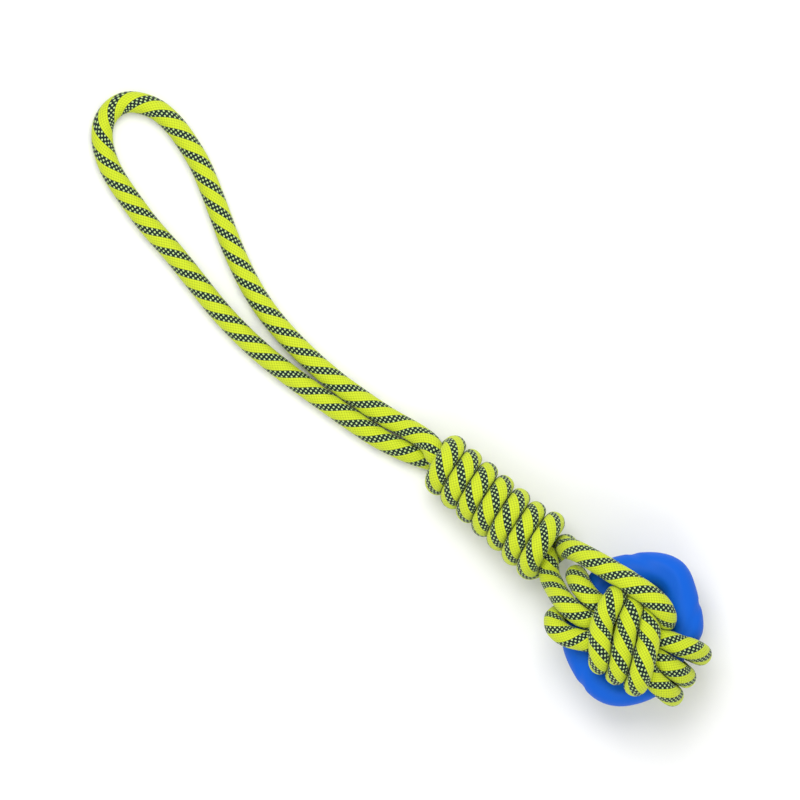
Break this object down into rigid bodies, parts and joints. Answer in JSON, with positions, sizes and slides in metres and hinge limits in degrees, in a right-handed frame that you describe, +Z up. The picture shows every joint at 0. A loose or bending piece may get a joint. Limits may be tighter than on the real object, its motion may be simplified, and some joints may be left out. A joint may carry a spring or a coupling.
{
  "type": "rope handle with rubber ring",
  "caption": "Soft braided rope handle: a flat hand loop, a tightly wrapped grip and a short neck that lashes a chunky rubber ring across its middle.",
  "frame": {"origin": "centre of the outline at floor level, lying flat with the ring's face up", "axes": "+X runs from the hand loop's far end along the grip to the ring's free end, +Y crosses the ring, +Z is up, out of the ring's face"},
  "size_m": [0.4146, 0.081, 0.0597],
  "materials": {
    "ring_rubber": "smooth moulded thermoplastic rubber, satin",
    "rope_braid": "lime yellow and dark blue braided polyester, satin",
    "rope_sealed": "heat-sealed rope end, dull"
  },
  "bodies": {
    "grip": {"wrap_coil": "rope_braid", "wrap_core": "rope_braid", "mouth_upper": "rope_braid", "mouth_lower": "rope_braid", "neck_upper": "rope_braid", "neck_lower": "rope_braid"},
    "loop_root": {"loop_root_upper": "rope_braid", "loop_root_lower": "rope_braid", "loop_fold_upper": "rope_braid", "loop_fold_lower": "rope_braid"},
    "hand_loop": {"loop_bight": "rope_braid", "loop_leg_upper": "rope_braid", "loop_leg_lower": "rope_braid"},
    "ring_end": {"rubber_ring": "ring_rubber", "cross_turn_1": "rope_braid", "cross_turn_2": "rope_braid", "cross_turn_3": "rope_braid", "lash_turn_1": "rope_braid", "lash_turn_2": "rope_braid", "lash_turn_3": "rope_braid", "rope_end_cross": "rope_sealed", "rope_end_lash": "rope_sealed"}
  },
  "joints": [
    {"name": "loop_swing", "type": "hinge", "parent": "grip", "child": "loop_root", "pos_m": [0.0195, -0.0165, 0.0052], "axis": [0, 0, 1], "range_deg": [-20, 20], "deforming": ["mouth_upper", "mouth_lower"]},
    {"name": "loop_lift", "type": "hinge", "parent": "loop_root", "child": "hand_loop", "pos_m": [-0.0135, -0.0222, 0.0052], "axis": [-0.174, 0.9848, 0], "range_deg": [0, 50], "deforming": ["loop_fold_upper", "loop_fold_lower"]},
    {"name": "neck_swing", "type": "hinge", "parent": "grip", "child": "ring_end", "pos_m": [0.1185, -0.0045, 0.026], "axis": [0, 0, 1], "range_deg": [-12, 12], "deforming": ["neck_upper", "neck_lower"]}
  ]
}
